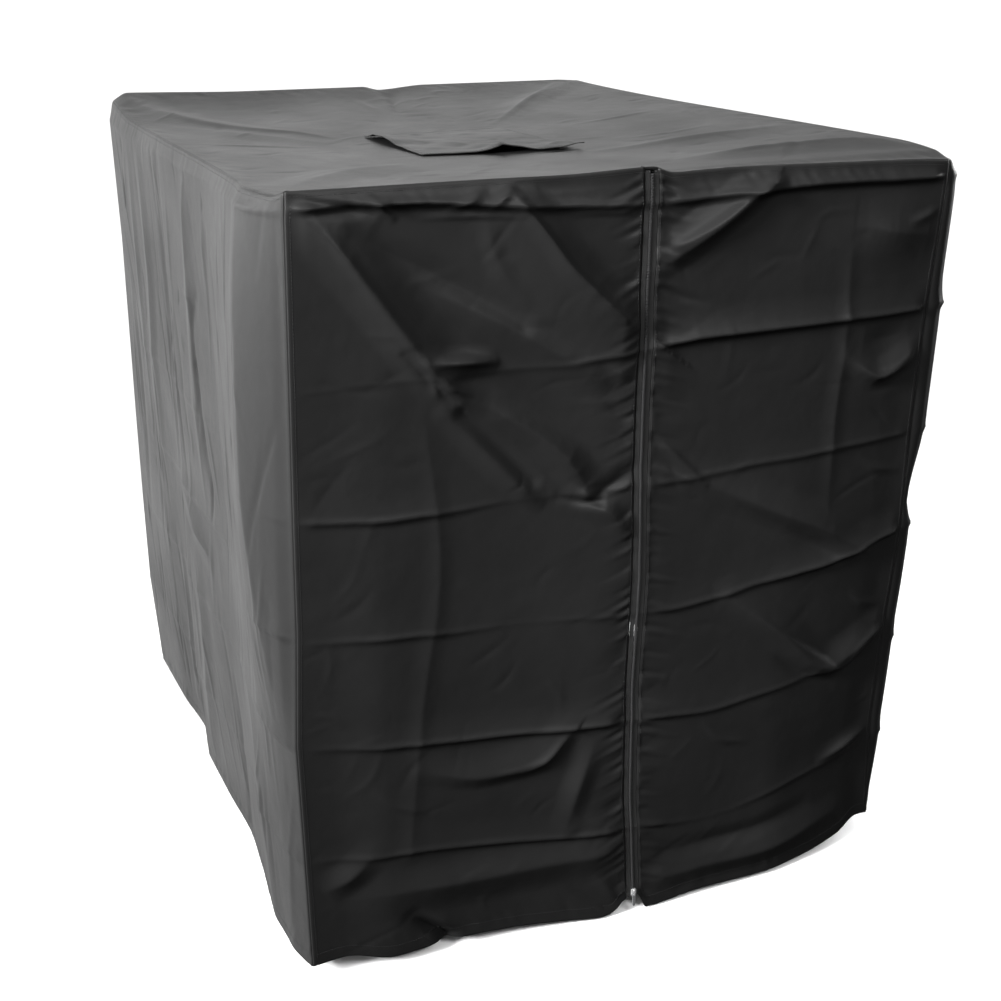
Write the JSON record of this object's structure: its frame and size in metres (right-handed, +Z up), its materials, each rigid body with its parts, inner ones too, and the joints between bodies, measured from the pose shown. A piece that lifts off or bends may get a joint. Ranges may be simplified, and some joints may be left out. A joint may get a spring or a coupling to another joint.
{
  "type": "water tank cover",
  "caption": "Fitted black cloth cover for a cube-shaped water tank, open below, with a front zip and a flap on its top.",
  "frame": {"origin": "middle of the tank's top face, just under the cover's top panel", "axes": "+Z up, -Y towards the side with the zip, +X to the right of someone who faces the zip"},
  "size_m": [1.0994, 1.2665, 1.201],
  "materials": {
    "coated_cloth": "black woven polyester with a satin waterproof coating",
    "zip_tape": "black woven tape, matt",
    "zip_coil": "black nylon coil, satin",
    "bright_metal": "bright plated cast metal",
    "dark_metal": "dull grey metal"
  },
  "bodies": {
    "root": {"top_panel": "coated_cloth", "top_flap": "coated_cloth", "front_left_panel": "coated_cloth", "front_right_panel": "coated_cloth", "left_wall": "coated_cloth", "right_wall": "coated_cloth", "back_wall": "coated_cloth", "zip_tape_left": "zip_tape", "zip_tape_right": "zip_tape", "zip_chain": "zip_coil", "zip_slider": "bright_metal", "zip_pull": "dark_metal"}
  },
  "joints": []
}
